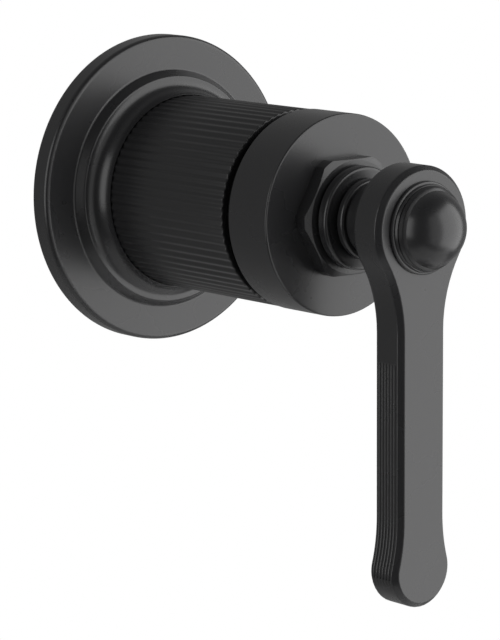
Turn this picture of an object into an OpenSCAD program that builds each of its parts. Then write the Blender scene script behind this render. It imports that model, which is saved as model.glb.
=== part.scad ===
// Wall mixer with a reeded sleeve and a single lever that turns through a quarter circle and a bit.
// Millimetres. The wall is the plane y = 0 and the mixer stands out towards -y, with +z up.
// Every piece is drawn flat on the wall with its own z axis pointing out, and wall_out() stands it up.

/* [Wall plate] */
// Radius of the round wall plate
plate_r = 42.5; // [41:0.5:48]
// Thickness of the plate's outer rim
rim_t = 6; // [5.6:0.2:8]
// Wall thickness of the turned plate
plate_wall = 2; // [1.6:0.1:2.4]
// Radius of the raised tier's foot
tier_r = 32.8; // [32:0.2:35]
// Height of the raised tier
tier_h = 2.4; // [1.5:0.1:3]
// How far the tier's side leans in
tier_lean = 1.7; // [1:0.1:2]
// Height of the hollow curve from the tier to the sleeve
cove_h = 4.9; // [4:0.1:6]
// Width of the foam gasket under the rim
gasket_w = 4.6; // [4:0.1:5]

/* [Sleeve] */
// Radius over the crests of the reeds
sleeve_r = 26.5; // [26.1:0.1:26.8]
// Wall of the sleeve under the reeds
sleeve_wall = 1.8; // [1.5:0.1:2]
// Distance of the sleeve's front end from the wall
sleeve_front = 60.7; // [59:0.1:70]
// Number of reeds round the sleeve
reed_count = 72; // [60:4:76]
// Radius of one rounded reed
reed_r = 1; // [0.9:0.05:1.2]
// Depth of the hollows between the reeds
reed_depth = 0.35; // [0.3:0.05:0.45]

/* [Handle cap] */
// Width of the dark gap between sleeve and cap
cap_gap = 3.2; // [2:0.2:4]
// Radius of the cap
cap_r = 26.7; // [26:0.1:28]
// Length of the cap
cap_len = 15; // [14:0.5:20]
// Side wall of the cap
cap_wall = 2.6; // [2:0.1:3]
// Front wall of the cap
cap_face_t = 3.2; // [2.5:0.1:4]

/* [Nut and collars] */
// Width of the hexagon nut across its flats
nut_af = 30.3; // [28:0.1:32]
// Thickness of the hexagon nut
nut_t = 4.4; // [3.5:0.1:6]
// Radius that the nut's corners are turned down to
nut_corner_r = 16.6; // [16.4:0.1:17]
// Radius of the large collar
collar_r = 13.6; // [13:0.1:14.5]
// Thickness of the large collar
collar_t = 3; // [2.5:0.1:3.5]
// Radius of the small collar
small_collar_r = 10.6; // [10.2:0.1:12]
// Thickness of the small collar
small_collar_t = 2.2; // [1.8:0.1:3]
// Width of the grooves beside the collars
collar_groove = 0.9; // [0.6:0.1:1.2]
// Radius of the neck between the collars and the lever
neck_r = 9.3; // [9.1:0.1:9.8]
// Length of the plain neck behind the lever
neck_len = 9.8; // [9:0.1:14]

/* [Lever] */
// Radius of the lever's round head
head_r = 15.9; // [15:0.1:17]
// Thickness of the lever
lever_t = 9.5; // [8.5:0.1:10.5]
// Half of the arm's width
arm_half_w = 8; // [7.5:0.1:9]
// Radius of the hollow curve from the head to the arm
shoulder_r = 35; // [30:1:40]
// Half of the widest part of the rounded end
end_half_w = 9.9; // [9.8:0.1:11]
// Distance from the lever's axis down to its tip
lever_reach = 99.5; // [90:0.5:115]
// Radius of the hollow curve from the arm to the rounded end
waist_r = 45; // [40:1:50]
// Radius of the rounded end's sides
end_side_r = 8.5; // [8.2:0.1:8.8]
// Width of the bevel round the front face
bevel = 1.35; // [0.8:0.05:1.6]
// Number of fine grooves along the grip's side walls
groove_count = 6; // [4:1:7]
// Depth of those grooves
groove_depth = 0.4; // [0.2:0.05:0.5]
// Distance from the lever's axis down to where the grooves start
groove_top = 34.5; // [32:0.5:45]

/* [Dome nut] */
// Radius of the dome nut's foot
dome_foot_r = 12; // [11.5:0.1:13]
// Radius of the dome nut's front rim
dome_rim_r = 10.6; // [10.4:0.1:11.2]
// Height of the foot under the dome
dome_foot_h = 3.9; // [3.4:0.1:5]
// Radius of the dome at its base
dome_r = 9.9; // [9.5:0.1:10.2]
// Height of the dome
dome_h = 7; // [6.5:0.1:9]

/* [Spindle] */
// Radius of the threaded spindle
spindle_r = 8; // [7.5:0.1:8.2]
// Radius of the spindle's clamping flange inside the cap
spindle_flange_r = 14; // [13:0.2:16]
// Radius of the threaded stud that takes the dome nut
stud_r = 5; // [4:0.1:5.5]
// Radius of the spindle's socket end
socket_r = 10.8; // [10.4:0.1:11.2]
// Radius of the grub screw
grub_r = 2; // [1.5:0.1:2.5]

/* [Cartridge] */
// Outer radius of the mixing cartridge
cartridge_r = 17.3; // [17:0.1:17.5]
// Radius of the cartridge's neck above its shoulder
cartridge_neck_r = 14.4; // [14:0.1:14.6]
// Height of the cartridge from its seat to its shoulder
shoulder_h = 26; // [25:0.5:27]
// Height of the cartridge's neck
cartridge_neck_h = 9.5; // [9:0.5:10]
// Radius of the ceramic discs
disc_r = 13; // [12.8:0.1:13.2]
// Thickness of one ceramic disc
disc_t = 4; // [3.5:0.1:4.2]
// Thickness of the cartridge's base
base_t = 5; // [4.5:0.1:5.5]
// Radius of the circle that the three water ways lie on
way_pitch_r = 8.3; // [8:0.1:8.6]
// Radius of one water way
way_r = 2.7; // [2.4:0.1:2.8]
// Radius of the stem where it leaves the cartridge
stem_r = 7.4; // [7:0.1:7.6]
// Radius of the stem's splined end
stem_tip_r = 5; // [4.5:0.1:5.4]

/* [Valve body] */
// Radius of the body behind the wall
body_r = 22; // [21.5:0.5:24]
// Depth of the body behind the wall
body_depth = 24; // [23:0.5:30]
// Thickness of the fixing flange
flange_t = 3; // [2.5:0.1:3.2]
// Radius of a fixing hole
fixing_hole_r = 2.3; // [2:0.1:2.8]
// Number of fixing holes
fixing_count = 3; // [3:1:4]
// Depth of the cartridge's seat from the wall
seat_out = 8; // [7.5:0.5:9]
// Radius of the barrel's gap to the sleeve
barrel_gap = 2; // [1.8:0.1:2.2]
// Radius of the threaded water ports
port_r = 7.5; // [7:0.1:7.6]
// Length of thread in a water port
port_len = 9; // [8.5:0.1:9.5]

/* [Turning range] */
// How far the lever turns, in degrees
turn = 105; // [90:5:120]

/* [Clearances] */
// Running clearance of turning shafts
run = 0.05; // [0.03:0.01:0.08]
// Clearance of threads, plugs and lids that are put together
fit = 0.1; // [0.05:0.05:0.15]
// Gap between faces that pass each other
pass = 0.3; // [0.2:0.05:0.4]

/* [Hidden] */
$fn = 64;

// Places along the main axis, as distances out from the wall
tier_front = rim_t + tier_h;
lip_front = tier_front + cove_h;
cap_back = sleeve_front + cap_gap;
cap_front = cap_back + cap_len;
nut_front = cap_front + nut_t;
collar_back = nut_front + collar_groove;
collar_front = collar_back + collar_t;
small_collar_back = collar_front + collar_groove;
small_collar_front = small_collar_back + small_collar_t;
lever_back = small_collar_front + neck_len + fit;
lever_front = lever_back + lever_t;
base_front = seat_out + base_t;
fixed_disc_front = base_front + disc_t;
moving_disc_back = fixed_disc_front + run;
moving_disc_front = moving_disc_back + disc_t;
shoulder_out = seat_out + shoulder_h;
neck_out = shoulder_out + cartridge_neck_h;
stop_ring_t = 4.5;
stop_out = neck_out + stop_ring_t;
stop_wall_h = 3.6;
spindle_back = stop_out + pass;
flange_front = cap_front - cap_face_t;
spindle_flange_t = 3;
socket_front = flange_front - spindle_flange_t - 2;

// Radii that follow from the sleeve and the barrel
sleeve_core_r = sleeve_r - reed_depth;
sleeve_bore = sleeve_core_r - sleeve_wall;
barrel_r = sleeve_bore - barrel_gap;
barrel_past_shoulder = 14;
barrel_front = shoulder_out + barrel_past_shoulder;
cartridge_bore = cartridge_r + fit;
gland_wall = 1.8;
gland_r = cartridge_bore + gland_wall;
plate_bore = sleeve_r + fit;

// Stands a piece that is drawn flat up against the wall
module wall_out() rotate([90, 0, 0]) children();

// A plain disc or shaft between two distances from the wall
module rod(r, from, to) translate([0, 0, from]) cylinder(r = r, h = to - from);

// A ring between two distances from the wall
module tube(r, bore, from, to) {
    difference() {
        rod(r, from, to);
        rod(bore, from - 1, to + 1);
    }
}

// A rubber ring of round section that lies round the axis
module o_ring(mid_r, section_r, out) {
    translate([0, 0, out]) rotate_extrude() translate([mid_r, 0]) circle(r = section_r, $fn = 32);
}

// Points along an arc
function arc(centre, r, from, to, steps) = [
    for (i = [0 : steps])
        let (a = from + (to - from) * i / steps) centre + r * [cos(a), sin(a)]];

// Wall plate: a turned shell with a raised tier and a hollow curve up to the sleeve
rim_edge = 1.4;
rim_back_edge = 0.3;
tier_edge = 0.7;
lip_w = 0.2;
rim_wall = 1.5;
gasket_out_r = plate_r - rim_wall;
gasket_in_r = gasket_out_r - gasket_w;
gasket_t = 1.2;
gasket_lip = 1.6;
hollow_r = gasket_in_r - gasket_lip;
flange_room = 0.8;
flange_r = hollow_r - flange_room;
fixing_margin = 5;
fixing_pitch_r = flange_r - fixing_margin;
tail_r = sleeve_core_r - 0.1;
plate_groove_depth = 1.2;
plate_ring_groove_r = plate_bore + plate_groove_depth;
plate_ring_r = (plate_ring_groove_r - tail_r) / 2 - 0.02;
plate_ring_out = tier_front - 0.6;
hub_wall = 1.4;
hub_r = plate_ring_groove_r + hub_wall;
hub_room = 0.8;
hub_back = flange_t + pass;

module plate_profile() {
    tier_top_r = tier_r - tier_lean;
    cove_w = tier_top_r - plate_bore - lip_w;
    under = rim_t - plate_wall;
    under_tier = tier_front - plate_wall - 0.2;
    polygon(concat(
        [[plate_bore, hub_back], [plate_bore, lip_front]],
        [for (t = [0 : 7.5 : 90]) [tier_top_r - cove_w * cos(t), lip_front - cove_h * sin(t)]],
        arc([tier_top_r, tier_front - tier_edge], tier_edge, 75, 35, 3),
        [[tier_r - 0.25, rim_t + 0.4], [tier_r, rim_t + 0.12], [tier_r + 0.4, rim_t]],
        arc([plate_r - rim_edge, rim_t - rim_edge], rim_edge, 90, 0, 6),
        [[plate_r, rim_back_edge], [plate_r - rim_back_edge, 0], [gasket_out_r, 0], [gasket_out_r, gasket_t]],
        [[gasket_in_r, gasket_t], [gasket_in_r, 0]],
        [[hollow_r, 0], [hollow_r, under], [hub_r + hub_room + 0.3, under]],
        [[hub_r + hub_room, under_tier], [hub_r, under_tier], [hub_r, hub_back]]));
}

module wall_plate() {
    half_w = plate_ring_r + 0.1;
    color("#26262a") wall_out() difference() {
        rotate_extrude($fn = 128) plate_profile();
        tube(plate_ring_groove_r, plate_bore - 1, plate_ring_out - half_w, plate_ring_out + half_w);
    }
}

module wall_gasket() {
    color("#3a3a3a") wall_out() tube(gasket_out_r - fit, gasket_in_r + fit, 0.05, gasket_t);
}

module plate_o_ring() {
    color("#161616") wall_out() o_ring(tail_r + 0.02 + plate_ring_r, plate_ring_r, plate_ring_out);
}

// Reeded sleeve: a plain tail inside the plate and fine rounded reeds along the rest
reeds_back = lip_front - 1.6;
sleeve_back = flange_t + pass;

module reeded_sleeve() {
    reed_pitch_r = sleeve_r - reed_r;
    color("#232326") wall_out() difference() {
        union() {
            rod(tail_r, sleeve_back, sleeve_front);
            rod(sleeve_core_r, reeds_back, sleeve_front);
            translate([0, 0, reeds_back]) linear_extrude(sleeve_front - reeds_back)
                for (i = [0 : reed_count - 1]) rotate(i * 360 / reed_count)
                    translate([reed_pitch_r, 0]) circle(r = reed_r, $fn = 32);
        }
        rod(sleeve_bore, sleeve_back - 1, sleeve_front + 1);
    }
}

// Valve body: brass casting with a barrel for the cartridge, a flange on the wall and three ports behind it
port_out = -body_depth / 2 - 1;
flat_cut = 1.5;
down = 270;
way_angles = [180, 0, down];
ring_groove_depth = 1.2;
back_ring_out = flange_t + 8;
front_ring_out = shoulder_out - 3;
body_ring_r = (barrel_gap + ring_groove_depth) / 2 - 0.05;
body_ring_outs = [back_ring_out, front_ring_out];
peg_r = 1.4;
peg_len = 2.3;
peg_pitch_r = 14.6;

module body_outside() {
    difference() {
        rod(body_r, -body_depth, flange_t);
        for (a = way_angles) rotate(a) translate([body_r - flat_cut, -body_r, -body_depth - 1])
            cube([body_r, 2 * body_r, body_depth]);
    }
    rod(flange_r, 0, flange_t);
    rod(barrel_r, 0, barrel_front);
}

module valve_body() {
    color("#b5965a") wall_out() difference() {
        body_outside();
        rod(cartridge_bore, seat_out, barrel_front + 1);
        rod(gland_r, shoulder_out, barrel_front + 1);
        for (a = way_angles) rotate(a) {
            translate([body_r - flat_cut - port_len, 0, port_out]) rotate([0, 90, 0])
                cylinder(r = port_r, h = port_len + 5);
            translate([way_pitch_r - way_r, 0, port_out]) rotate([0, 90, 0])
                cylinder(r = way_r, h = body_r - flat_cut - port_len - way_pitch_r + way_r + 0.5);
            translate([way_pitch_r, 0, port_out]) cylinder(r = way_r, h = seat_out - port_out + 1);
        }
        rotate(90) translate([peg_pitch_r, 0, seat_out - peg_len - pass])
            cylinder(r = peg_r + fit, h = peg_len + 1, $fn = 32);
        for (i = [0 : fixing_count - 1]) rotate(90 + i * 360 / fixing_count)
            translate([fixing_pitch_r, 0, -1]) cylinder(r = fixing_hole_r, h = flange_t + 2, $fn = 32);
        for (out = body_ring_outs)
            tube(barrel_r + 1, barrel_r - ring_groove_depth, out - body_ring_r - 0.1, out + body_ring_r + 0.1);
    }
}

module body_o_rings() {
    color("#161616") wall_out()
        for (out = body_ring_outs) o_ring(sleeve_bore - 0.05 - body_ring_r, body_ring_r, out);
}

// Seals round the three water ways, set in grooves in both faces of the cartridge's base
seal_r = 0.7;
seal_mid_r = way_r + 1;
seal_groove_w = 1.8;
seal_groove_depth = 2 * seal_r + 0.05;

module at_ways() for (a = way_angles) rotate(a) translate([way_pitch_r, 0, 0]) children();

module seal_grooves(from) {
    at_ways() translate([0, 0, from]) difference() {
        cylinder(r = seal_mid_r + seal_groove_w / 2, h = seal_groove_depth + 1);
        translate([0, 0, -1]) cylinder(r = seal_mid_r - seal_groove_w / 2, h = seal_groove_depth + 3);
    }
}

module port_seals() {
    color("#1a1a1a") wall_out() at_ways() o_ring(seal_mid_r, seal_r, seat_out + seal_r + 0.02);
}

module disc_seals() {
    color("#1a1a1a") wall_out() at_ways() o_ring(seal_mid_r, seal_r, base_front - seal_r - 0.02);
}

// Cartridge base: moulded plug with the three water ways and a peg that sets its angle in the body
module cartridge_base() {
    color("#d8d4c8") wall_out() {
        difference() {
            rod(cartridge_r, seat_out, base_front);
            at_ways() rod(way_r, seat_out - 1, base_front + 1);
            seal_grooves(seat_out - 1);
            seal_grooves(base_front - seal_groove_depth);
            tube(cartridge_r + 1, skirt_bore - fit, base_front - rebate_h, base_front + 1);
        }
        rotate(90) translate([peg_pitch_r, 0, 0]) rod(peg_r, seat_out - peg_len, seat_out);
    }
}

// Cartridge housing: moulded skirt over the discs, a shoulder and a neck that guides the stem
skirt_bore = disc_r + 1.4;
rebate_h = 1.5;
carrier_t = 5;
stem_collar_t = 3.35;
skirt_front = moving_disc_front + run + carrier_t + stem_collar_t + 2 * pass;
housing_gap = 0.02;
disc_key_r = 1.5;

module cartridge_housing() {
    color("#e4e0d6") wall_out() {
        difference() {
            union() {
                rod(cartridge_r, base_front - rebate_h + housing_gap, shoulder_out);
                rod(cartridge_neck_r, base_front, neck_out);
            }
            rod(skirt_bore, base_front - rebate_h - 1, skirt_front);
            rod(stem_r + run, base_front, neck_out + 1);
        }
        rotate(90) translate([disc_r, 0, 0]) rod(disc_key_r, base_front + fit, fixed_disc_front - fit);
    }
}

// Ceramic discs: the fixed one has the three ways, the moving one a blind mixing chamber
chamber_depth = 2.2;
chamber_edge = 2.5;

module fixed_disc() {
    color("#f2f0ea") wall_out() difference() {
        rod(disc_r, base_front, fixed_disc_front);
        at_ways() rod(way_r, base_front - 1, fixed_disc_front + 1);
        rotate(90) translate([disc_r, 0, 0]) rod(disc_key_r + fit, base_front - 1, fixed_disc_front + 1);
    }
}

module moving_disc() {
    chamber_r = way_pitch_r + way_r;
    color("#ece9e1") wall_out() difference() {
        rod(disc_r - 0.4, moving_disc_back, moving_disc_front);
        difference() {
            rod(chamber_r, moving_disc_back - 1, moving_disc_back + chamber_depth);
            rod(way_pitch_r - way_r, moving_disc_back - 2, moving_disc_back + chamber_depth + 1);
            translate([-chamber_r - 1, chamber_edge, moving_disc_back - 2])
                cube([2 * chamber_r + 2, chamber_r, disc_t]);
        }
        for (side = [0, 180]) rotate(side) translate([drive_pitch_r, 0, 0])
            rod(drive_peg_r + fit, moving_disc_front - drive_peg_h - 0.2, moving_disc_front + 1);
    }
}

// Disc carrier: moulded plate whose pegs turn the moving disc and whose square socket takes the stem
carrier_r = disc_r - 0.4;
carrier_front = moving_disc_front + run + carrier_t;
drive_peg_r = 1.3;
drive_peg_h = 1.3;
drive_pitch_r = 9;
stem_square = 9;
stem_square_h = 3.6;

module disc_carrier() {
    color("#3f5f86") wall_out() {
        difference() {
            rod(carrier_r, moving_disc_front + run, carrier_front);
            translate([0, 0, carrier_front - stem_square_h]) linear_extrude(stem_square_h + 1)
                square(stem_square + 2 * fit, center = true);
        }
        for (side = [0, 180]) rotate(side) translate([drive_pitch_r, 0, 0])
            rod(drive_peg_r, moving_disc_front - drive_peg_h, moving_disc_front + run);
    }
}

// Stem: brass shaft with a square foot, a collar under the housing's shoulder and a slotted tip in the spindle
stem_collar_w = 3;
stem_collar_r = stem_r + stem_collar_w;
stem_tip_front = socket_front - pass;
stem_groove_r = stem_r - 1.1;
stem_ring_r = (stem_r - stem_groove_r) / 2 - 0.01;
stem_ring_out = shoulder_out + 1;
spline_count = 8;

module cartridge_stem() {
    color("#c2a568") wall_out() difference() {
        union() {
            translate([0, 0, carrier_front - stem_square_h + 0.2]) linear_extrude(stem_square_h + pass)
                square(stem_square, center = true);
            rod(stem_collar_r, carrier_front + pass, carrier_front + pass + stem_collar_t);
            rod(stem_r, carrier_front + pass, neck_out);
            rod(stem_tip_r, carrier_front + pass, stem_tip_front);
        }
        tube(stem_r + 1, stem_groove_r, stem_ring_out - stem_ring_r - 0.1, stem_ring_out + stem_ring_r + 0.1);
        for (i = [0 : spline_count - 1]) rotate(i * 360 / spline_count)
            translate([stem_tip_r, 0, 0]) rod(0.7, spindle_back - 1, stem_tip_front + 1);
    }
}

module stem_o_ring() {
    color("#161616") wall_out() o_ring(stem_groove_r + 0.01 + stem_ring_r, stem_ring_r, stem_ring_out);
}

// Cartridge nut: brass ring that screws into the barrel and holds the cartridge by its shoulder
nut_hex_af = 2 * gland_r - 1;
nut_hex_t = 4;

module cartridge_nut() {
    color("#b5965a") wall_out() difference() {
        union() {
            rod(gland_r - fit, shoulder_out, barrel_front + fit);
            translate([0, 0, barrel_front + fit]) cylinder(d = nut_hex_af / cos(30), h = nut_hex_t, $fn = 6);
        }
        rod(cartridge_neck_r + fit, shoulder_out - 1, barrel_front + nut_hex_t + 2);
    }
}

// Stop ring: moulded ring on the housing's neck with a curved wall that limits the turn
stop_inner_r = stem_r + 1.5;
stop_wall_in_r = socket_r + pass;
stop_lug_angle = 30;
stop_slack = 2;

// A slice of a ring from one angle to another, counted anticlockwise from +x
module ring_slice(r, bore, from, to, a0, a1) {
    intersection() {
        tube(r, bore, from, to);
        translate([0, 0, from - 1]) linear_extrude(to - from + 2)
            polygon(concat([[0, 0]], arc([0, 0], 2 * r, a0, a1, 6)));
    }
}

module stop_ring() {
    color("#7d1f1f") wall_out() {
        tube(cartridge_neck_r - fit, stop_inner_r, neck_out, stop_out);
        ring_slice(cartridge_neck_r - fit, stop_wall_in_r, stop_out, stop_out + stop_wall_h,
            down + turn + stop_lug_angle / 2 + stop_slack, down + 360 - stop_lug_angle / 2 - stop_slack);
    }
}

// Glide ring: moulded bearing in the sleeve's mouth that fills the dark gap behind the cap
glide_r = sleeve_bore - fit;
glide_w = 2.6;
glide_depth = 5;
glide_back = sleeve_front - glide_depth;

module glide_ring() {
    color("#0c0c0d") wall_out() tube(glide_r, glide_r - glide_w, glide_back, cap_back - pass);
}

// Spindle: turned brass hub with a socket for the stem, a flange inside the cap and a threaded stud
key_half_w = spindle_r - 1.5;
stud_seat_t = 4;
key_front = lever_front - stud_seat_t;
stud_front = lever_front + dome_foot_h + 3;

module spindle() {
    color("#c2a568") wall_out() difference() {
        union() {
            rod(socket_r, spindle_back, flange_front - spindle_flange_t);
            rod(spindle_flange_r, flange_front - spindle_flange_t, flange_front);
            rod(spindle_r, flange_front, lever_back);
            intersection() {
                rod(spindle_r, lever_back, key_front);
                translate([-key_half_w, -spindle_r, lever_back])
                    cube([2 * key_half_w, 2 * spindle_r, key_front - lever_back]);
            }
            rod(stud_r, key_front, stud_front);
            ring_slice(cartridge_neck_r - pass, socket_r - 0.5, spindle_back, spindle_back + stop_wall_h - pass,
                down - stop_lug_angle / 2, down + stop_lug_angle / 2);
        }
        rod(stem_tip_r + run, spindle_back - 1, socket_front);
        translate([0, 0, grub_out]) rotate([0, 90, 0]) cylinder(r = grub_r + run, h = socket_r + 1, $fn = 32);
    }
}

// Grub screw: locks the spindle on the stem, hidden inside the cap
grub_out = socket_front - 5;

module grub_screw() {
    grub_back = stem_tip_r + 0.1;
    color("#8a8a8a") wall_out() translate([grub_back, 0, grub_out]) rotate([0, 90, 0]) difference() {
        cylinder(r = grub_r, h = socket_r - grub_back - 0.2, $fn = 32);
        translate([0, 0, socket_r - grub_back - 2]) cylinder(r = grub_r / 2, h = 3, $fn = 6);
    }
}

// Handle cap: turned cup over the spindle's flange
cap_edge = 0.4;
cap_bore = spindle_r + fit;

module handle_cap() {
    color("#28282b") wall_out() difference() {
        rotate_extrude($fn = 128) polygon([
            [cap_bore, flange_front], [cap_bore, cap_front], [cap_r - cap_edge, cap_front],
            [cap_r - cap_edge * 0.3, cap_front - cap_edge * 0.3], [cap_r, cap_front - cap_edge],
            [cap_r, cap_back + 0.2], [cap_r - 0.2, cap_back], [cap_r - cap_wall, cap_back],
            [cap_r - cap_wall, flange_front]]);
    }
}

// Hexagon nut: clamps the cap on the spindle, its corners turned round and its front chamfered
module hex_nut() {
    chamfer = 0.8;
    color("#242427") wall_out() intersection() {
        difference() {
            translate([0, 0, cap_front]) cylinder(d = nut_af / cos(30), h = nut_t, $fn = 6);
            rod(cap_bore, cap_front - 1, nut_front + 1);
        }
        rotate_extrude($fn = 96) polygon([
            [0, cap_front - 1], [nut_corner_r, cap_front - 1], [nut_corner_r, nut_front - chamfer],
            [nut_corner_r - 1.7, nut_front], [nut_corner_r - 1.7, nut_front + 1], [0, nut_front + 1]]);
    }
}

// Stepped bush: turned spacer with two collars between the nut and the lever
collar_edge = 0.9;
small_collar_edge = 0.9;

module stepped_bush() {
    bush_front = lever_back - fit;
    root_r = collar_r - 2.2;
    color("#242427") wall_out() rotate_extrude($fn = 96) polygon(concat(
        [[cap_bore, nut_front], [root_r, nut_front], [root_r, collar_back], [collar_r - 0.25, collar_back]],
        [[collar_r, collar_back + 0.25]],
        arc([collar_r - collar_edge, collar_front - collar_edge], collar_edge, 0, 90, 6),
        [[neck_r, collar_front], [neck_r, small_collar_back], [small_collar_r - 0.2, small_collar_back]],
        [[small_collar_r, small_collar_back + 0.2]],
        arc([small_collar_r - small_collar_edge, small_collar_front - small_collar_edge],
            small_collar_edge, 0, 90, 6),
        [[neck_r, small_collar_front], [neck_r, bush_front], [cap_bore, bush_front]]));
}

// Lever: forged flat bar with a round head, a parallel arm and a rounded end
// Its outline is built from arcs that touch: head, hollow shoulder, arm, hollow waist, side of the end and tip
neck_y = -sqrt(pow(head_r + shoulder_r, 2) - pow(arm_half_w + shoulder_r, 2));
neck_angle = atan2(-neck_y, arm_half_w + shoulder_r);
end_side_x = end_half_w - end_side_r;
tip_bulge = 1.15;
end_y = end_side_r + tip_bulge - lever_reach;
tip_gap = end_side_r + tip_bulge;
tip_r = (tip_gap * tip_gap - end_side_r * end_side_r + end_side_x * end_side_x) / (2 * tip_bulge);
tip_y = tip_r - lever_reach;
waist_reach_x = arm_half_w + waist_r - end_side_x;
waist_y = end_y + sqrt(pow(waist_r + end_side_r, 2) - pow(waist_reach_x, 2));
waist_angle = atan2(waist_y - end_y, waist_reach_x);
tip_angle = atan2(tip_y - end_y, end_side_x);
back_edge = 0.5;
side_groove_w = 0.5;
groove_margin = 0.45;
groove_pitch = (lever_t - bevel - back_edge - 2 * groove_margin) / groove_count;
groove_bottom = 2 - end_y;

// An arc without its first point, which the piece before it already has
function next_arc(centre, r, from, to, steps) =
    let (points = arc(centre, r, from, to, steps)) [for (i = [1 : steps]) points[i]];

// The right side of the outline from the top of the head to the tip, drawn smaller by the inset
function lever_side(inset) = concat(
    arc([0, 0], head_r - inset, 90, -neck_angle, 16),
    next_arc([arm_half_w + shoulder_r, neck_y], shoulder_r + inset, 180 - neck_angle, 180, 5),
    next_arc([arm_half_w + waist_r, waist_y], waist_r + inset, 180, 180 + waist_angle, 4),
    next_arc([end_side_x, end_y], end_side_r - inset, waist_angle, -tip_angle, 9),
    next_arc([0, tip_y], tip_r - inset, -tip_angle, -90, 4));

// The whole outline; point i of the right side lies opposite point opposite(i)
function mirrored(side) = concat(side, [for (i = [len(side) - 2 : -1 : 1]) [-side[i][0], side[i][1]]]);
side_last = len(lever_side(0)) - 1;
ring_count = 2 * side_last;
function opposite(i) = (ring_count - i) % ring_count;

lever_rings = [
    for (ring = [
        [lever_back, back_edge], [lever_back + back_edge, 0], [lever_front - bevel, 0], [lever_front, bevel]])
        [for (p = mirrored(lever_side(ring[1]))) [p[0], p[1], ring[0]]]];

// Closed skin over the rings, with each flat end filled by strips from side to side
module lever_solid() {
    top = (len(lever_rings) - 1) * ring_count;
    polyhedron(
        points = [for (ring = lever_rings, p = ring) p],
        faces = concat(
            [for (i = [0 : side_last - 1], half = [0, 1])
                let (f = half == 0 ? [i, i + 1, opposite(i + 1)] : [i, opposite(i + 1), opposite(i)])
                if (f[0] != f[2] && f[1] != f[2]) [f[2], f[1], f[0]]],
            [for (i = [0 : side_last - 1], half = [0, 1])
                let (f = half == 0 ? [i, i + 1, opposite(i + 1)] : [i, opposite(i + 1), opposite(i)])
                if (f[0] != f[2] && f[1] != f[2]) [top + f[0], top + f[1], top + f[2]]],
            [for (k = [0 : len(lever_rings) - 2], i = [0 : ring_count - 1], half = [0, 1])
                let (a = k * ring_count + i, b = k * ring_count + (i + 1) % ring_count)
                half == 0 ? [a, b, b + ring_count] : [a, b + ring_count, a + ring_count]]));
}

// The grip's outline, drawn smaller by the grooves' depth
grip_core = mirrored(concat(
    [[0, 0], [arm_half_w - groove_depth, 0]],
    arc([arm_half_w + waist_r, waist_y], waist_r + groove_depth, 180, 180 + waist_angle, 4),
    next_arc([end_side_x, end_y], end_side_r - groove_depth, waist_angle, -30, 6),
    [[0, end_y - end_side_r / 2]]));

module side_grooves() {
    for (i = [0 : groove_count - 1])
        translate([0, 0, lever_back + back_edge + groove_margin + (i + 0.5) * groove_pitch - side_groove_w / 2])
            linear_extrude(side_groove_w) difference() {
                translate([-end_half_w - 1, -groove_bottom])
                    square([2 * end_half_w + 2, groove_bottom - groove_top]);
                polygon(grip_core);
            }
}

module lever() {
    color("#2a2a2d") wall_out() difference() {
        lever_solid();
        side_grooves();
        intersection() {
            rod(cap_bore, lever_back - 1, key_front + fit);
            translate([-key_half_w - fit, -cap_bore - 1, lever_back - 2])
                cube([2 * (key_half_w + fit), 2 * cap_bore + 2, key_front + fit - lever_back + 4]);
        }
        rod(stud_r + fit, lever_back - 1, lever_front + 1);
    }
}

// Dome nut: turned nut with a grooved foot, a thin bevelled rim and a domed end
dome_back = lever_front + dome_foot_h;
dome_sphere_r = (dome_r * dome_r + dome_h * dome_h) / (2 * dome_h);
foot_top_r = dome_rim_r + 0.25;
foot_flange_h = 0.9;
foot_groove_count = 3;

module dome_nut() {
    foot_front = lever_front + foot_flange_h;
    groove_r = dome_foot_r - 0.5;
    groove_zone = dome_foot_h - foot_flange_h - 0.7;
    color("#2a2a2d") wall_out() difference() {
        union() {
            rotate_extrude($fn = 96) polygon(concat(
                [[0, lever_front], [dome_foot_r - 0.2, lever_front], [dome_foot_r, lever_front + 0.2]],
                [[dome_foot_r, foot_front - 0.3], [dome_foot_r - 0.3, foot_front]],
                [for (i = [0 : foot_groove_count - 1], step = [0 : 3])
                    let (part = (i + step / 4) / foot_groove_count, dip = step < 2 ? 0.3 : 0)
                    [groove_r - (groove_r - foot_top_r) * part - dip, foot_front + part * groove_zone]],
                [[foot_top_r - 0.2, dome_back - 0.7], [dome_rim_r, dome_back - 0.6], [dome_r, dome_back]],
                [[0, dome_back]]));
            intersection() {
                translate([0, 0, dome_back + dome_h - dome_sphere_r]) sphere(r = dome_sphere_r, $fn = 96);
                rod(dome_r + 2, dome_back - 0.5, dome_back + dome_h + 1);
            }
        }
        rod(stud_r + fit, lever_front - 1, stud_front + 0.5);
    }
}

wall_plate();
wall_gasket();
plate_o_ring();
reeded_sleeve();
body_o_rings();
valve_body();
port_seals();
cartridge_base();
disc_seals();
cartridge_housing();
fixed_disc();
moving_disc();
disc_carrier();
cartridge_stem();
stem_o_ring();
cartridge_nut();
stop_ring();
glide_ring();
spindle();
grub_screw();
handle_cap();
hex_nut();
stepped_bush();
lever();
dome_nut();
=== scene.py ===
from math import asin, atan2, cos, pi, radians, sin, sqrt

import bmesh
import bpy
from mathutils import Matrix, Vector


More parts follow.
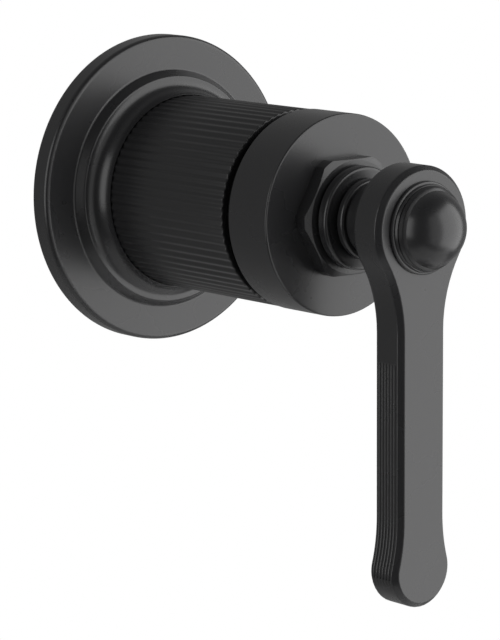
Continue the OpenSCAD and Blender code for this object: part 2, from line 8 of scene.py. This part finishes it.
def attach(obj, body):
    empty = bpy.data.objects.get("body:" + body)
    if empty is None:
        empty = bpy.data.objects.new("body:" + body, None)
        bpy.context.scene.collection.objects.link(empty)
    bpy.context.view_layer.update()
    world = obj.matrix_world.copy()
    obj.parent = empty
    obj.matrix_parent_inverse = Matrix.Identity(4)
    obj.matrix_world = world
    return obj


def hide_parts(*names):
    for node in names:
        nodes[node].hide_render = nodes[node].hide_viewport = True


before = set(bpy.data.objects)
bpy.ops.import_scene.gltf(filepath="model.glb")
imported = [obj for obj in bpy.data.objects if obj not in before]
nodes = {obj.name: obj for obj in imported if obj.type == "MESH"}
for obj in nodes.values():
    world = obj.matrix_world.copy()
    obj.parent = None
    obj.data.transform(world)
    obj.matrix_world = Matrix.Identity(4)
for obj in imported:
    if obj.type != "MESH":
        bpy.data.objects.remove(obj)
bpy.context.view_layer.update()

# Black coat: a thin satin coat, dipped and baked on turned brass. It is nearly black and
# keeps the smoothness of the metal, so it shows broad soft reflections that a very fine
# grain breaks up.


def sheet_colour(code):
    """An sRGB hex colour as the linear colour that Blender's sockets take."""
    channels = [int(code[i:i + 2], 16) / 255 for i in (1, 3, 5)]
    linear = [c / 12.92 if c <= 0.04045 else ((c + 0.055) / 1.055) ** 2.4 for c in channels]
    return linear + [1.0]


def add_node(tree, kind, links=(), **settings):
    """Adds a node, sets its fields and sockets, and links (socket, from node, from socket)."""
    node = tree.nodes.new(kind)
    for name, value in settings.items():
        if name in node.inputs:
            node.inputs[name].default_value = value
        else:
            setattr(node, name, value)
    for socket, source, output in links:
        tree.links.new(source.outputs[output], node.inputs[socket])
    return node


def plain_material(name, colour):
    """A material of one colour, with its node tree and its shader."""
    material = bpy.data.materials.new(name)
    material.use_nodes = True
    shader = material.node_tree.nodes["Principled BSDF"]
    shader.inputs["Base Color"].default_value = sheet_colour(colour)
    return material, material.node_tree, shader


def coat(name, colour, roughness, grain_mm, grain_height_mm):
    """A coated or moulded surface whose gloss drifts a little from place to place over a fine
    grain. The real grain is too fine to show, so it is drawn as coarse as it needs to be."""
    drift_mm, shinier, duller = 14, 0.04, 0.05
    material, tree, shader = plain_material(name, colour)
    shader.inputs["IOR"].default_value = 1.5
    place = add_node(tree, "ShaderNodeTexCoord")
    drift = add_node(tree, "ShaderNodeTexNoise", [("Vector", place, "Object")],
                     Scale=1000 / drift_mm, Detail=3.0)
    gloss = add_node(tree, "ShaderNodeMapRange", [("Value", drift, "Fac")],
                     **{"To Min": roughness - shinier, "To Max": roughness + duller})
    tree.links.new(gloss.outputs["Result"], shader.inputs["Roughness"])
    grain = add_node(tree, "ShaderNodeTexNoise", [("Vector", place, "Object")],
                     Scale=1000 / grain_mm, Detail=2.0)
    bump = add_node(tree, "ShaderNodeBump", [("Height", grain, "Fac")],
                    Distance=grain_height_mm / 1000, Strength=1.0)
    tree.links.new(bump.outputs["Normal"], shader.inputs["Normal"])
    return material


satin_black = coat("satin black baked coat", "#262627", 0.27, 0.5, 0.005)

# Wall plate: round brass plate, turned with a thin flat rim, a raised tier and a hollow
# curve up to the sleeve. It is pushed over the sleeve against the wall.


def edge_arc(radius, out, size, start, end, steps):
    """A small rounded edge of a turned profile, as (radius, distance from the wall) points."""
    turns = [radians(start + (end - start) * i / steps) for i in range(steps + 1)]
    return [(radius + size * cos(t), out + size * sin(t)) for t in turns]


def first_row(name, points):
    """Starts a piece with one closed row of vertices, numbered so that later rows follow it."""
    bpy.ops.object.select_all(action="DESELECT")
    bpy.ops.mesh.primitive_circle_add(vertices=len(points), radius=0.01)
    piece = bpy.context.object
    piece.name = piece.data.name = name
    bpy.ops.object.mode_set(mode="EDIT")
    mesh = bmesh.from_edit_mesh(piece.data)
    number = mesh.verts.layers.int.new("number")
    for i, vert in enumerate(mesh.verts):
        vert[number] = i
        vert.co = points[i]
    bmesh.update_edit_mesh(piece.data)
    return piece


def next_row(piece, points):
    """Extrudes the selected row and lays the new one along the points."""
    bpy.ops.mesh.extrude_region_move()
    mesh = bmesh.from_edit_mesh(piece.data)
    number = mesh.verts.layers.int["number"]
    for vert in mesh.verts:
        if vert.select:
            vert.co = points[vert[number]]
    bmesh.update_edit_mesh(piece.data)


def close_piece(smooth):
    """Joins rows that meet, turns all faces outwards, leaves edit mode and shades the edges
    below this angle smooth."""
    bpy.ops.mesh.select_all(action="SELECT")
    bpy.ops.mesh.remove_doubles(threshold=1e-6)
    bpy.ops.mesh.normals_make_consistent(inside=False)
    bpy.ops.object.mode_set(mode="OBJECT")
    bpy.ops.object.shade_smooth_by_angle(angle=radians(smooth))


def turned_row(radius, out, count):
    """A circle round the mixer's axis, radius and distance from the wall in millimetres."""
    turns = [2 * pi * i / count for i in range(count)]
    return [Vector((radius * cos(t), -out, radius * sin(t))) / 1000 for t in turns]


def braced(profile):
    """Adds a close row beside each end of a long straight stretch, so that it shades flat."""
    long_stretch, brace = 0.9, 0.12
    rows = []
    for (r0, out0), (r1, out1) in zip(profile, profile[1:] + profile[:1]):
        rows.append((r0, out0))
        length = sqrt((r1 - r0) ** 2 + (out1 - out0) ** 2)
        if length > long_stretch:
            for share in (brace / length, 1 - brace / length):
                rows.append((r0 + (r1 - r0) * share, out0 + (out1 - out0) * share))
    return rows


def turn(name, profile, count):
    """Turns a closed profile of (radius, out) points round the axis."""
    profile = braced(profile)
    piece = first_row(name, turned_row(*profile[0], count))
    for radius, out in profile[1:] + profile[:1]:
        next_row(piece, turned_row(radius, out, count))
    close_piece(30)
    return piece


def dress(piece, body, material, node):
    """Gives a piece its finish and its body, and hides the CAD node that it stands for."""
    piece.data.materials.clear()
    piece.data.materials.append(material)
    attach(piece, body)
    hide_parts(node)


rim_r, rim_t, rim_edge, rim_back_edge = 42.5, 6.0, 1.4, 0.25
tier_foot_r, tier_top_r, tier_out, tier_edge = 33.0, 30.9, 8.5, 0.7
cove_h, lip_r, lip_edge, plate_bore = 5.4, 26.75, 0.08, 26.6
hub_r, hub_back, hub_room, hub_slope, under_tier, under_rim = 29.2, 3.3, 0.8, 0.3, 6.2, 4.0
hollow_r, gasket_in_r, gasket_out_r, gasket_t = 34.8, 36.4, 41.0, 1.2
cove_w, lip_out = tier_top_r - lip_r, tier_out + cove_h
tier_fillet = [(tier_foot_r + aside, rim_t + rise)
               for aside, rise in ((0.45, 0.0), (0.1, 0.08), (-0.15, 0.3))]
cove = [(tier_top_r - cove_w * cos(radians(t)), tier_out + cove_h * (1 - sin(radians(t))))
        for t in range(90, -1, -6)]
plate = turn("wall_plate_turned", (
    [(rim_r - rim_back_edge, 0.0), (rim_r, rim_back_edge)]
    + edge_arc(rim_r - rim_edge, rim_t - rim_edge, rim_edge, 0, 90, 9)
    + tier_fillet + edge_arc(tier_top_r, tier_out - tier_edge, tier_edge, 35, 80, 5)
    + cove + [(plate_bore + lip_edge, lip_out), (plate_bore, lip_out - lip_edge)]
    + [(plate_bore, hub_back), (hub_r, hub_back), (hub_r, under_tier)]
    + [(hub_r + hub_room, under_tier), (hub_r + hub_room + hub_slope, under_rim)]
    + [(hollow_r, under_rim), (hollow_r, 0.0), (gasket_in_r, 0.0), (gasket_in_r, gasket_t)]
    + [(gasket_out_r, gasket_t), (gasket_out_r, 0.0)]), 200)
dress(plate, "fixed", satin_black, "wall_plate")

# Reeded sleeve: brass tube with 72 fine rounded reeds along it, rolled into its wall.
# It slides over the barrel and its plain tail sits inside the wall plate. The coat is
# duller here, and its colour is drawn darker as painted shade between the reeds.
reed_count, reed_points, reed_depth = 72, 12, 0.33
sleeve_r, sleeve_bore, mouth_edge, tail_r = 26.5, 24.35, 0.1, 26.05
sleeve_back, reeds_back, sleeve_front = 3.3, 11.7, 60.7


def reeded_row(out, sink):
    """One row round the reeds, sunk towards the axis by so many millimetres."""
    row = []
    for i in range(reed_count * reed_points):
        around = 2 * pi * i / (reed_count * reed_points)
        radius = sleeve_r - sink - reed_depth * (1 - cos(reed_count * around)) / 2
        row.append(Vector((radius * cos(around), -out, radius * sin(around))) / 1000)
    return row


sleeve = first_row("sleeve_reeded", reeded_row(reeds_back, 0.0))
for before_front, sink in ((0.3, 0.0), (0.1, 0.06), (0.0, 0.22)):
    next_row(sleeve, reeded_row(sleeve_front - before_front, sink))
for radius, out in ((sleeve_bore + mouth_edge, sleeve_front),
                    (sleeve_bore, sleeve_front - mouth_edge), (sleeve_bore, sleeve_back),
                    (tail_r, sleeve_back), (tail_r, reeds_back)):
    next_row(sleeve, turned_row(radius, out, reed_count * reed_points))
next_row(sleeve, reeded_row(reeds_back, 0.0))
close_piece(50)
# The darker colour is painted shade between the reeds; the higher roughness makes it duller.
reed_black_painted_shade = coat("satin black coat with painted shade between reeds", "#1f1f20", 0.3, 0.5, 0.005)
dress(sleeve, "fixed", reed_black_painted_shade, "reeded_sleeve")

# Handle cap: brass cup, turned smooth outside, with a small rounding at both ends. The
# hexagon nut clamps it on the spindle's flange, and it turns in front of the sleeve.
cap_r, cap_inner_r, cap_bore, cap_gap, cap_len, cap_face_t = 26.7, 24.1, 8.1, 3.2, 15.0, 3.2
cap_back_edge, cap_front_edge = 0.25, 0.45
cap_back = sleeve_front + cap_gap
cap_front = cap_back + cap_len
cap_floor = cap_front - cap_face_t
cap = turn("handle_cap_turned", (
    [(cap_inner_r, cap_back), (cap_r - cap_back_edge, cap_back)]
    + edge_arc(cap_r - cap_back_edge, cap_back + cap_back_edge, cap_back_edge, -90, 0, 3)
    + edge_arc(cap_r - cap_front_edge, cap_front - cap_front_edge, cap_front_edge, 0, 90, 5)
    + [(cap_bore, cap_front), (cap_bore, cap_floor), (cap_inner_r, cap_floor)]), 200)
dress(cap, "handle", satin_black, "handle_cap")

# Hexagon nut: brass, cut from hexagon bar, its corners turned down, its front chamfered
# and its edges broken. It is screwed on the spindle against the cap.
nut_af, nut_corner_r, nut_t, nut_edge = 30.3, 16.6, 4.4, 0.2
chamfer_w, chamfer_h, blank_w, hair, spare = 1.7, 0.85, 2.3, 0.02, 1.0
nut_back, nut_front = cap_front, cap_front + nut_t
bpy.ops.object.select_all(action="DESELECT")
bpy.ops.mesh.primitive_cylinder_add(
    vertices=6, radius=nut_af / 2000 / cos(radians(30)), depth=(nut_front - nut_back) / 1000,
    location=(0, -(nut_back + nut_front) / 2000, 0), rotation=(radians(90), radians(30), 0))
nut = bpy.context.object
nut.name = nut.data.name = "hexagon_nut"
bpy.ops.object.transform_apply(location=True, rotation=True, scale=True)
blank = turn("nut_blank", (
    [(cap_bore, nut_back - spare), (cap_bore, nut_front + spare)]
    + [(nut_corner_r - blank_w, nut_front + spare)]
    + [(nut_corner_r - chamfer_w, nut_front - hair), (nut_corner_r, nut_front - chamfer_h)]
    + [(nut_corner_r, nut_back - spare)]), 180)
cut = nut.modifiers.new("cut", "BOOLEAN")
cut.operation, cut.object, cut.solver = "INTERSECT", blank, "EXACT"
bpy.ops.object.select_all(action="DESELECT")
bpy.context.view_layer.objects.active = nut
nut.select_set(True)
bpy.ops.object.modifier_apply(modifier="cut")
bpy.data.objects.remove(blank)
bpy.ops.object.shade_smooth_by_angle(angle=radians(25))
edge = nut.modifiers.new("edge", "BEVEL")
edge.width, edge.segments = nut_edge / 1000, 2
edge.limit_method, edge.angle_limit = "ANGLE", radians(28)
edge.harden_normals = True
bpy.ops.object.modifier_apply(modifier="edge")
dress(nut, "handle", satin_black, "hex_nut")

# Stepped bush: brass spacer, turned with two thin rounded collars on a plain neck, and a
# narrow groove behind each collar. It sits on the spindle between the nut and the lever.
bush_len, groove_w, groove_floor_r, neck_r = 16.8, 0.9, 11.4, 9.3
collar_r, collar_t, small_r, small_t = 13.6, 3.0, 10.6, 2.2
collar_round, collar_back_edge = 0.9, 0.2
bush_back, bush_front = nut_front, nut_front + bush_len
collar_back = bush_back + groove_w
collar_out = collar_back + collar_t
small_back = collar_out + groove_w
small_out = small_back + small_t


def collar(radius, back, front):
    """A collar's profile: its broken back edge and its rounded front one."""
    return ([(radius - collar_back_edge, back), (radius, back + collar_back_edge)]
            + edge_arc(radius - collar_round, front - collar_round, collar_round, 0, 90, 6))


bush = turn("bush_turned", (
    [(cap_bore, bush_back), (groove_floor_r, bush_back), (groove_floor_r, collar_back)]
    + collar(collar_r, collar_back, collar_out) + [(neck_r, collar_out), (neck_r, small_back)]
    + collar(small_r, small_back, small_out)
    + [(neck_r, small_out), (neck_r, bush_front), (cap_bore, bush_front)]), 128)
dress(bush, "handle", satin_black, "stepped_bush")

# Lever: forged brass bar, milled flat, with a round head, a parallel arm and a rounded end.
# Its front edge is bevelled, and fine grooves run along the side walls of the grip.
head_r, arm_w, shoulder_r, waist_r, end_r = 15.9, 8.0, 35.0, 45.0, 8.5
end_half_w, reach, tip_bulge = 9.9, 99.5, 1.15
lever_gap, lever_t, bevel = 0.1, 9.5, 1.35
lever_back, lever_front = bush_front + lever_gap, bush_front + lever_gap + lever_t
neck_y = -sqrt((head_r + shoulder_r) ** 2 - (arm_w + shoulder_r) ** 2)
neck_turn = atan2(-neck_y, arm_w + shoulder_r)
end_x, end_y = end_half_w - end_r, end_r + tip_bulge - reach
tip_r = ((end_r + tip_bulge) ** 2 - end_r ** 2 + end_x ** 2) / (2 * tip_bulge)
tip_y = tip_r - reach
waist_x = arm_w + waist_r - end_x
waist_y = end_y + sqrt((waist_r + end_r) ** 2 - waist_x ** 2)
waist_turn, tip_turn = atan2(waist_y - end_y, waist_x), atan2(tip_y - end_y, end_x)
groove_top, groove_end, top_fade, end_fade = -34.6, end_y - 2.0, 0.4, 1.0


def bend(x, y, radius, start, end, steps):
    """Points along an arc of the lever's outline, as (x, y) in millimetres."""
    turns = [start + (end - start) * i / steps for i in range(steps + 1)]
    return [(x + radius * cos(t), y + radius * sin(t)) for t in turns]


def lever_side(inset):
    """The right edge from the head's top to the tip, drawn inwards by the inset."""
    x, fade_y = arm_w - inset, groove_top - top_fade
    side = bend(0, 0, head_r - inset, pi / 2, -neck_turn, 26)
    side += bend(arm_w + shoulder_r, neck_y, shoulder_r + inset, pi - neck_turn, pi, 8)[1:]
    side += [(x, groove_top + (neck_y - groove_top) * i / 6) for i in range(5, -1, -1)]
    side += [(x, fade_y + (waist_y - fade_y) * i / 18) for i in range(18)]
    side += bend(arm_w + waist_r, waist_y, waist_r + inset, pi, pi + waist_turn, 8)
    side += bend(end_x, end_y, end_r - inset, waist_turn, -tip_turn, 16)[1:]
    side += bend(0, tip_y, tip_r - inset, -tip_turn, -pi / 2, 8)[1:]
    return side


def lever_row(out, inset, groove=0.0):
    """One row round the lever; where the grip is grooved it lies deeper by the groove."""
    side = []
    for (x, y), (deep_x, deep_y) in zip(lever_side(inset), lever_side(inset + groove)):
        from_top = min(max((groove_top - y) / top_fade, 0.0), 1.0)
        from_end = min(max((y - groove_end) / end_fade, 0.0), 1.0)
        share = from_top * from_end
        side.append((x + (deep_x - x) * share, y + (deep_y - y) * share))
    both = side + [(-x, y) for x, y in reversed(side[1:-1])]
    return [Vector((x, -out, y)) / 1000 for x, y in both]


def fill_row(piece, out):
    """Closes the row that lies this far from the wall with one flat face."""
    bpy.ops.mesh.select_all(action="DESELECT")
    mesh = bmesh.from_edit_mesh(piece.data)
    for vert in mesh.verts:
        vert.select_set(abs(vert.co.y + out / 1000) < 1e-6)
    mesh.select_flush(True)
    bmesh.update_edit_mesh(piece.data)
    bpy.ops.mesh.edge_face_add()


back_edge, plain_strip, groove_count, groove_depth, groove_half = 0.5, 0.45, 6, 0.4, 0.3
bevel_back, grooves_back = lever_front - bevel, lever_back + back_edge + plain_strip
groove_pitch = (bevel_back - plain_strip - grooves_back) / groove_count
lever = first_row("lever_forged", lever_row(lever_back, back_edge))
for share_out, share_in in ((0.3, 0.35), (1.0, 0.0)):
    next_row(lever, lever_row(lever_back + back_edge * share_out, back_edge * share_in))
for i in range(groove_count):
    middle = grooves_back + (i + 0.5) * groove_pitch
    for across, depth in ((-1.25, 0.0), (-0.8, 0.15), (0.0, 1.0), (0.8, 0.15), (1.25, 0.0)):
        next_row(lever, lever_row(middle + across * groove_half, 0.0, depth * groove_depth))
# The bevel as (distance past its back edge, inset), with close rows that keep it flat.
for past, inset in ((-0.12, 0.0), (0.03, 0.05), (0.25, 0.25), (bevel - 0.3, bevel - 0.3),
                    (bevel - 0.1, bevel - 0.12), (bevel, bevel + 0.08), (bevel, bevel + 0.2)):
    next_row(lever, lever_row(bevel_back + past, inset))
fill_row(lever, lever_front)
fill_row(lever, lever_back)
close_piece(28)
dress(lever, "handle", satin_black, "lever")

# Dome nut: brass nut that holds the lever on the spindle's stud. It is turned with a low
# foot, two fine grooves, a thin bevelled rim and a smooth domed end.
foot_r, foot_h, dome_rim_r, dome_r, dome_h = 12.0, 3.9, 10.6, 9.9, 7.0
rim_back, rim_front, rim_bevel, dome_steps, pole_r = 3.05, 3.35, 0.15, 18, 0.02
dome_back = lever_front + foot_h
dome_ball = (dome_r ** 2 + dome_h ** 2) / (2 * dome_h)
dome_centre = dome_back + dome_h - dome_ball
half_dome = asin(dome_r / dome_ball)
# The foot as (distance inside its edge, distance past the lever).
foot_ring = [(0.15, 0.0), (0.0, 0.15), (0.0, 0.55), (0.12, 0.75), (0.35, 0.9)]
back_groove = [(0.75, 1.0), (0.75, 1.25)]
thin_ring = [(0.6, 1.4), (0.85, 1.95)]
front_groove = [(1.15, 2.0), (1.15, 2.2), (0.95, 2.3)]
dome_turns = [half_dome * (1 - i / dome_steps) for i in range(1, dome_steps)]
dome_nut = turn("dome_nut_turned", (
    [(pole_r, lever_front)]
    + [(foot_r - inside, lever_front + past)
       for inside, past in foot_ring + back_groove + thin_ring + front_groove]
    + [(dome_rim_r, lever_front + rim_back), (dome_rim_r, lever_front + rim_front)]
    + [(dome_rim_r - rim_bevel, lever_front + rim_front + rim_bevel), (dome_r, dome_back)]
    + [(dome_ball * sin(t), dome_centre + dome_ball * cos(t)) for t in dome_turns]
    + [(pole_r, dome_back + dome_h)]), 128)
dress(dome_nut, "handle", satin_black, "dome_nut")

# Glide ring: bearing ring in the sleeve's mouth, the dark ring that shows behind the cap.
# It is moulded in black acetal, which is duller than the coat and a little waxy. Its colour
# is drawn darker than black acetal: painted shade in the narrow gap between sleeve and cap.


def finish_nodes(material, *names):
    """Gives the CAD's own solids their finish."""
    for name in names:
        nodes[name].data.materials.clear()
        nodes[name].data.materials.append(material)


# The ring's near-black colour is painted shade in the gap between sleeve and cap.
finish_nodes(coat("moulded black acetal darkened as painted gap shade", "#0d0d0e", 0.5, 0.8, 0.004), "glide_ring")

# Valve body, cartridge nut, stem, spindle and grub screw: brass and steel, turned from bar,
# with bright bores and the tool's fine rings round the axis. All but the body's back is
# hidden by the trim.


def cut_metal(name, colour, roughness):
    """Turned metal: the tool's rings make its gloss and its surface waver along the axis. Real
    rings are a tenth of a millimetre apart and are drawn three times as coarse, to show."""
    ring_mm, streak_mm, ring_depth_mm, shinier, duller = 1 / 3, 50 / 3, 0.01, 0.08, 0.1
    material, tree, shader = plain_material(name, colour)
    shader.inputs["Metallic"].default_value = 1.0
    place = add_node(tree, "ShaderNodeTexCoord")
    rings = add_node(tree, "ShaderNodeMapping", [("Vector", place, "Object")],
                     Scale=(1000 / streak_mm, 1000 / ring_mm, 1000 / streak_mm))
    marks = add_node(tree, "ShaderNodeTexNoise", [("Vector", rings, "Vector")],
                     Scale=1.0, Detail=3.0)
    gloss = add_node(tree, "ShaderNodeMapRange", [("Value", marks, "Fac")],
                     **{"To Min": roughness - shinier, "To Max": roughness + duller})
    tree.links.new(gloss.outputs["Result"], shader.inputs["Roughness"])
    bump = add_node(tree, "ShaderNodeBump", [("Height", marks, "Fac")],
                    Distance=ring_depth_mm / 1000, Strength=0.6)
    tree.links.new(bump.outputs["Normal"], shader.inputs["Normal"])
    return material


finish_nodes(cut_metal("turned brass", "#c9a55c", 0.32),
             "valve_body", "cartridge_nut", "cartridge_stem", "spindle")
finish_nodes(cut_metal("zinc plated steel", "#a9abad", 0.35), "grub_screw")

# Seals: rings moulded in nitrile rubber, which is matt and nearly black, and the wall
# plate's gasket, punched from closed cell foam with a coarse dull skin.
finish_nodes(coat("moulded nitrile rubber", "#19191a", 0.6, 0.3, 0.01),
             "plate_o_ring", "body_o_rings", "port_seals", "disc_seals", "stem_o_ring")
finish_nodes(coat("closed cell foam rubber", "#2b2b2c", 0.85, 0.7, 0.05), "wall_gasket")

# Cartridge and stop ring: acetal mouldings, coloured right through, with a waxy half gloss,
# round two discs of alumina ceramic that are lapped until they are smooth and bright.
finish_nodes(coat("moulded white acetal", "#e3dfd3", 0.4, 0.9, 0.004),
             "cartridge_base", "cartridge_housing")
finish_nodes(coat("moulded blue acetal", "#3f5f86", 0.42, 0.9, 0.004), "disc_carrier")
finish_nodes(coat("moulded red acetal", "#7d1f1f", 0.42, 0.9, 0.004), "stop_ring")
finish_nodes(coat("lapped alumina ceramic", "#f2f0ea", 0.18, 0.2, 0.001),
             "fixed_disc", "moving_disc")

# Studio: a room that is dark in front of the mixer and a little lighter behind it, and white
# to the camera alone, over a pale floor far below, which the camera sees lifted to white.
world = bpy.data.worlds.new("studio")
bpy.context.scene.world = world
world.use_nodes = True
air = world.node_tree
air.nodes.clear()
way = add_node(air, "ShaderNodeTexCoord")
split = add_node(air, "ShaderNodeSeparateXYZ", [("Vector", way, "Generated")])
room = add_node(air, "ShaderNodeMapRange", [("Value", split, "Y")],
                **{"From Min": -0.25, "From Max": 0.3, "To Min": 0.03, "To Max": 0.26})
rays = add_node(air, "ShaderNodeLightPath")
seen = add_node(air, "ShaderNodeMath",
                [(0, rays, "Is Camera Ray"), (1, rays, "Is Transmission Ray")],
                operation="MAXIMUM")
glow = add_node(air, "ShaderNodeMix", [("Factor", seen, "Value"), ("A", room, "Result")], B=1.0)
sky = add_node(air, "ShaderNodeBackground", [("Strength", glow, "Result")],
               Color=(1.0, 1.0, 1.0, 1.0))
add_node(air, "ShaderNodeOutputWorld", [("Surface", sky, "Background")])

floor_size, floor_z, floor_lift = 1.6, -0.95, 0.5
bpy.ops.object.select_all(action="DESELECT")
bpy.ops.mesh.primitive_plane_add(size=floor_size, location=(0, 0, floor_z))
floor = bpy.context.object
floor.name = "floor"
pale, tree, shader = plain_material("pale floor", "#f4f4f4")
shader.inputs["Roughness"].default_value = 0.9
rays = add_node(tree, "ShaderNodeLightPath")
lift = add_node(tree, "ShaderNodeEmission", [("Strength", rays, "Is Camera Ray")],
                Color=(floor_lift, floor_lift, floor_lift, 1.0))
both = add_node(tree, "ShaderNodeAddShader", [(0, shader, "BSDF"), (1, lift, "Emission")])
tree.links.new(both.outputs["Shader"], tree.nodes["Material Output"].inputs["Surface"])
floor.data.materials.append(pale)

# Lamps: a large soft one and a wide dim one to the right in front, and a narrow one that
# rims the mixer from the left.


def direction(azimuth, elevation):
    """A way out from the mixer, in degrees right of straight in front and above level."""
    a, e = radians(azimuth), radians(elevation)
    return Vector((sin(a) * cos(e), -cos(a) * cos(e), sin(e)))


def lamp(name, azimuth, elevation, distance, width, height, radiance):
    """A soft lamp that faces the mixer, its sizes in metres."""
    middle = Vector((0, -0.05, -0.02))
    light = bpy.data.lights.new(name, "AREA")
    light.shape, light.size, light.size_y = "RECTANGLE", width, height
    light.energy = radiance * pi * width * height
    holder = bpy.data.objects.new(name, light)
    bpy.context.scene.collection.objects.link(holder)
    away = direction(azimuth, elevation)
    holder.location = middle + away * distance
    holder.rotation_euler = away.to_track_quat("Z", "Y").to_euler()


lamp("soft lamp right", 42, 3, 1.3, 2.0, 2.6, 1.8)
lamp("wide lamp front", 25, 3, 1.5, 4.4, 3.4, 0.7)
lamp("narrow lamp left", -95, 8, 1.2, 0.7, 1.1, 2.0)

# Camera: a long lens, left of the mixer and a little above it, hardly tilted sideways.
# It looks at a point between the sleeve and the lever.
azimuth, elevation, roll, distance = -40.05, 10.0, radians(-0.37), 0.86453
aim = Vector((-0.00368, -0.045, -0.03177))
back = direction(azimuth, elevation)
right = Vector((cos(radians(azimuth)), sin(radians(azimuth)), 0))
up = back.cross(right)
right, up = right * cos(roll) + up * sin(roll), up * cos(roll) - right * sin(roll)
lens = bpy.data.cameras.new("camera")
lens.lens, lens.sensor_width, lens.sensor_fit = 180.0, 36.0, "AUTO"
camera = bpy.data.objects.new("camera", lens)
bpy.context.scene.collection.objects.link(camera)
turned = Matrix((right, up, back)).transposed().to_4x4()
turned.translation = aim + back * distance
camera.matrix_world = turned
bpy.context.scene.camera = camera
bpy.context.scene.view_settings.view_transform = "Standard"
